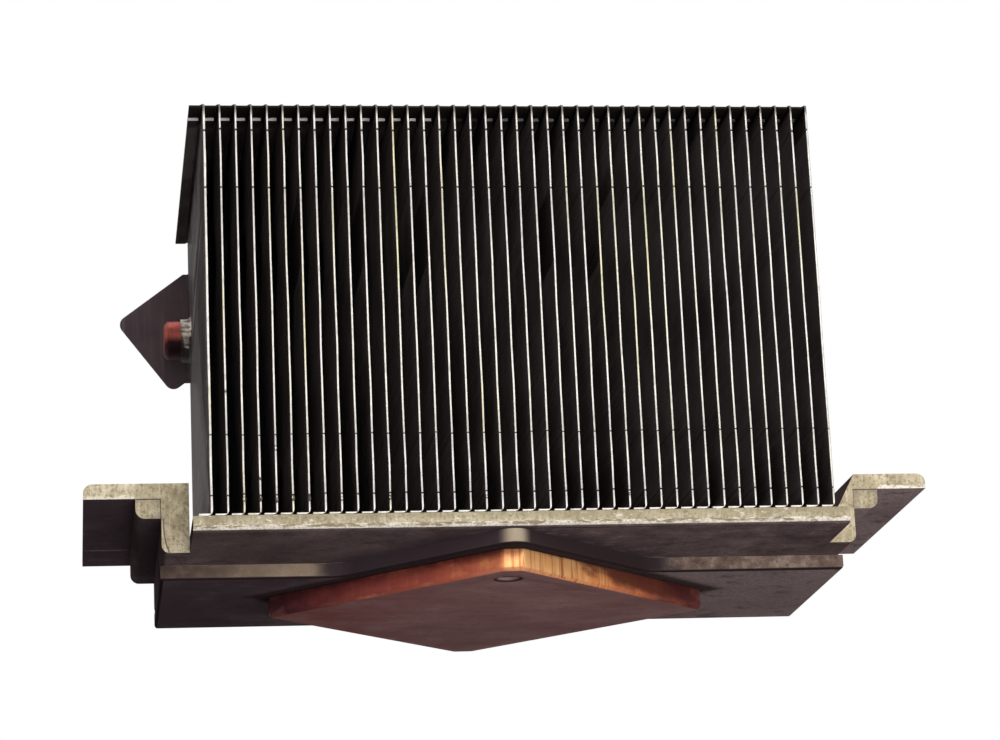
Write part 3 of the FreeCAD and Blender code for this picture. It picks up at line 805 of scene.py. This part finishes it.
def sink_rib_fronts(work):
    """Set the front of each rib back a hair, which leaves a line round it. Gives the faces of that line."""
    lines = []
    for near_x, far_x in RIBS:
        inner = far_x if near_x < 0 else near_x
        for point, axis in (((0, 0, LEDGE_UNDER * MM), (0, 0, 1)), ((inner * MM, 0, 0), (1, 0, 0))):
            fronts = [face for face in work.faces
                      if on_wing_front(face) and face.calc_center_median().x * near_x > 0]
            geometry = set(fronts)
            for face in fronts:
                geometry.update(face.edges)
                geometry.update(face.verts)
            bmesh.ops.bisect_plane(work, geom=list(geometry), plane_co=point, plane_no=axis)
        for face in work.faces[:]:
            middle = face.calc_center_median() / MM
            inside = near_x < middle.x < far_x and RIB_UNDER < middle.z < LEDGE_UNDER
            if inside and on_wing_front(face):
                made = bmesh.ops.inset_region(work, faces=[face], thickness=RIB_INSET * MM,
                                              depth=-RIB_INSET * MM)
                for edge_face in made["faces"]:
                    place = edge_face.calc_center_median() / MM
                    if place.z > LEDGE_UNDER - 2 * RIB_INSET or abs(place.x - inner) < 2 * RIB_INSET:
                        lines.append(edge_face)
    return lines


CAST, BURR, CREASE = range(3)


def build_base(cast, burr, crease):
    """The casting, with its edges broken a little and its cut ends bright."""
    work = form_of("base")
    soften(work, edges_at(work, y=PLATE_FRONT, z=PLATE_UNDER), PLATE_EDGE_ROUNDING, 4)
    soften(work, edges_at(work, z=STEP_UNDER), STEP_EDGE_ROUNDING, 4)
    soften(work, sharp_edges(work), BASE_EDGE_ROUNDING, 3)
    lines = set(sink_rib_fronts(work))

    def choose(face):
        if face in lines:
            return CREASE
        torn = face.normal.y < -0.6 and face.normal.z < -0.15
        return BURR if torn and face.calc_center_median().z > PLATE_UNDER * MM else CAST

    finish_piece(work, "cast_base", [cast, burr, crease], choose, "base")


def build_contact_plate(copper):
    """The copper plate, with its edges broken."""
    work = form_of("copper_plate")
    soften(work, sharp_edges(work), COPPER_EDGE_ROUNDING, 3)
    finish_piece(work, "contact_plate", [copper], lambda face: 0, "copper_plate")


def build_pipe(copper):
    """The heat pipe, with rounded ends."""
    work = form_of("heat_pipe")
    soften(work, sharp_edges(work), PIPE_EDGE_ROUNDING, 4)
    finish_piece(work, "pipe", [copper], lambda face: 0, "heat_pipe")


def lamp(name, place, aim, size, power, colour):
    """A soft square lamp aimed at a point."""
    data = bpy.data.lights.new(name, "AREA")
    data.shape = "SQUARE"
    data.size = size
    data.energy = power
    data.color = colour
    item = bpy.data.objects.new(name, data)
    item.location = place
    item.rotation_euler = (Vector(aim) - Vector(place)).to_track_quat("-Z", "Y").to_euler()
    bpy.context.scene.collection.objects.link(item)


def light_the_scene():
    for name, place, size, power, colour in LAMPS:
        lamp(name, place, LAMP_AIM, size, power, colour)


def seen_level(tree, as_light, as_seen):
    """One strength as a light, and another where it is seen, also in a reflection or through glass."""
    path = tree.nodes.new("ShaderNodeLightPath")
    seen = path.outputs["Is Camera Ray"]
    for name in ("Is Glossy Ray", "Is Transmission Ray"):
        both = tree.nodes.new("ShaderNodeMath")
        both.operation = "MAXIMUM"
        tree.links.new(seen, both.inputs[0])
        tree.links.new(path.outputs[name], both.inputs[1])
        seen = both.outputs[0]
    level = tree.nodes.new("ShaderNodeMapRange")
    level.inputs["To Min"].default_value = as_light
    level.inputs["To Max"].default_value = as_seen
    tree.links.new(seen, level.inputs["Value"])
    return level.outputs["Result"]


def set_world():
    """White where it is seen, and dim as a light."""
    world = bpy.data.worlds.new("studio")
    bpy.context.scene.world = world
    world.use_nodes = True
    tree = world.node_tree
    sky = tree.nodes["Background"]
    tree.links.new(seen_level(tree, WORLD_AS_LIGHT, WORLD_AS_SEEN), sky.inputs["Strength"])
    sky.inputs["Color"].default_value = (1.0, 1.0, 1.0, 1.0)


def lay_floor():
    """Pale floor under the contact face. It is one-sided, so that it can be looked through from below."""
    work = bmesh.new()
    bmesh.ops.create_circle(work, cap_ends=True, radius=FLOOR_RADIUS, segments=64)
    mesh = bpy.data.meshes.new("floor")
    work.to_mesh(mesh)
    work.free()
    floor = bpy.data.objects.new("floor", mesh)
    floor.location.z = FLOOR_LEVEL
    bpy.context.scene.collection.objects.link(floor)
    look = Look("floor_paper", Roughness=0.9)
    grain = look.noise((0.02, 0.02, 0.02), detail=2.0)
    paper = look.ramp(grain, (0.3, (0.86, 0.86, 0.855)), (0.7, (0.89, 0.89, 0.885)))
    # far from the lamps a faint glow keeps the paper as pale to the eye as it is close by
    away = look.add("ShaderNodeVectorMath", operation="LENGTH")
    look.plug(away.inputs[0], look.place)
    far = look.span(away.outputs["Value"], *FLOOR_FADE)
    look.colour(look.blend(far, paper, FLOOR_FAR_COLOUR))
    glow = look.product(far, seen_level(look.tree, 0.0, FLOOR_FAR_GLOW))
    look.plug(look.shader.inputs["Emission Strength"], glow)
    clear = look.add("ShaderNodeBsdfTransparent")
    sides = look.add("ShaderNodeMixShader")
    facing = look.add("ShaderNodeNewGeometry").outputs["Backfacing"]
    look.plug(sides.inputs[0], facing)
    look.plug(sides.inputs[1], look.shader.outputs["BSDF"])
    look.plug(sides.inputs[2], clear.outputs["BSDF"])
    look.plug(look.tree.nodes["Material Output"].inputs["Surface"], sides.outputs["Shader"])
    mesh.materials.append(look.material)
    floor.visible_diffuse = False
    floor.visible_shadow = False


def place_camera():
    """The camera, where it stood for the reference view."""
    data = bpy.data.cameras.new("camera")
    data.lens = CAMERA_LENS
    data.sensor_width = CAMERA_SENSOR
    data.clip_start = 0.01
    back = CAMERA_RIGHT.cross(CAMERA_UP)
    turn = Matrix((CAMERA_RIGHT, CAMERA_UP, back)).transposed().to_4x4()
    camera = bpy.data.objects.new("camera", data)
    camera.matrix_world = Matrix.Translation(CAMERA_PLACE) @ turn
    bpy.context.scene.collection.objects.link(camera)
    bpy.context.scene.camera = camera


build_fins([shaded_fin_face(), fin_edge(), collar_metal(), lug_face(), tab_end(), fin_skin()])
build_base(cast_metal(), burr_metal(), crease_metal())
build_contact_plate(contact_copper())
build_pipe(pipe_copper())
light_the_scene()
set_world()
lay_floor()
place_camera()
bpy.context.scene.view_settings.view_transform = "Standard"
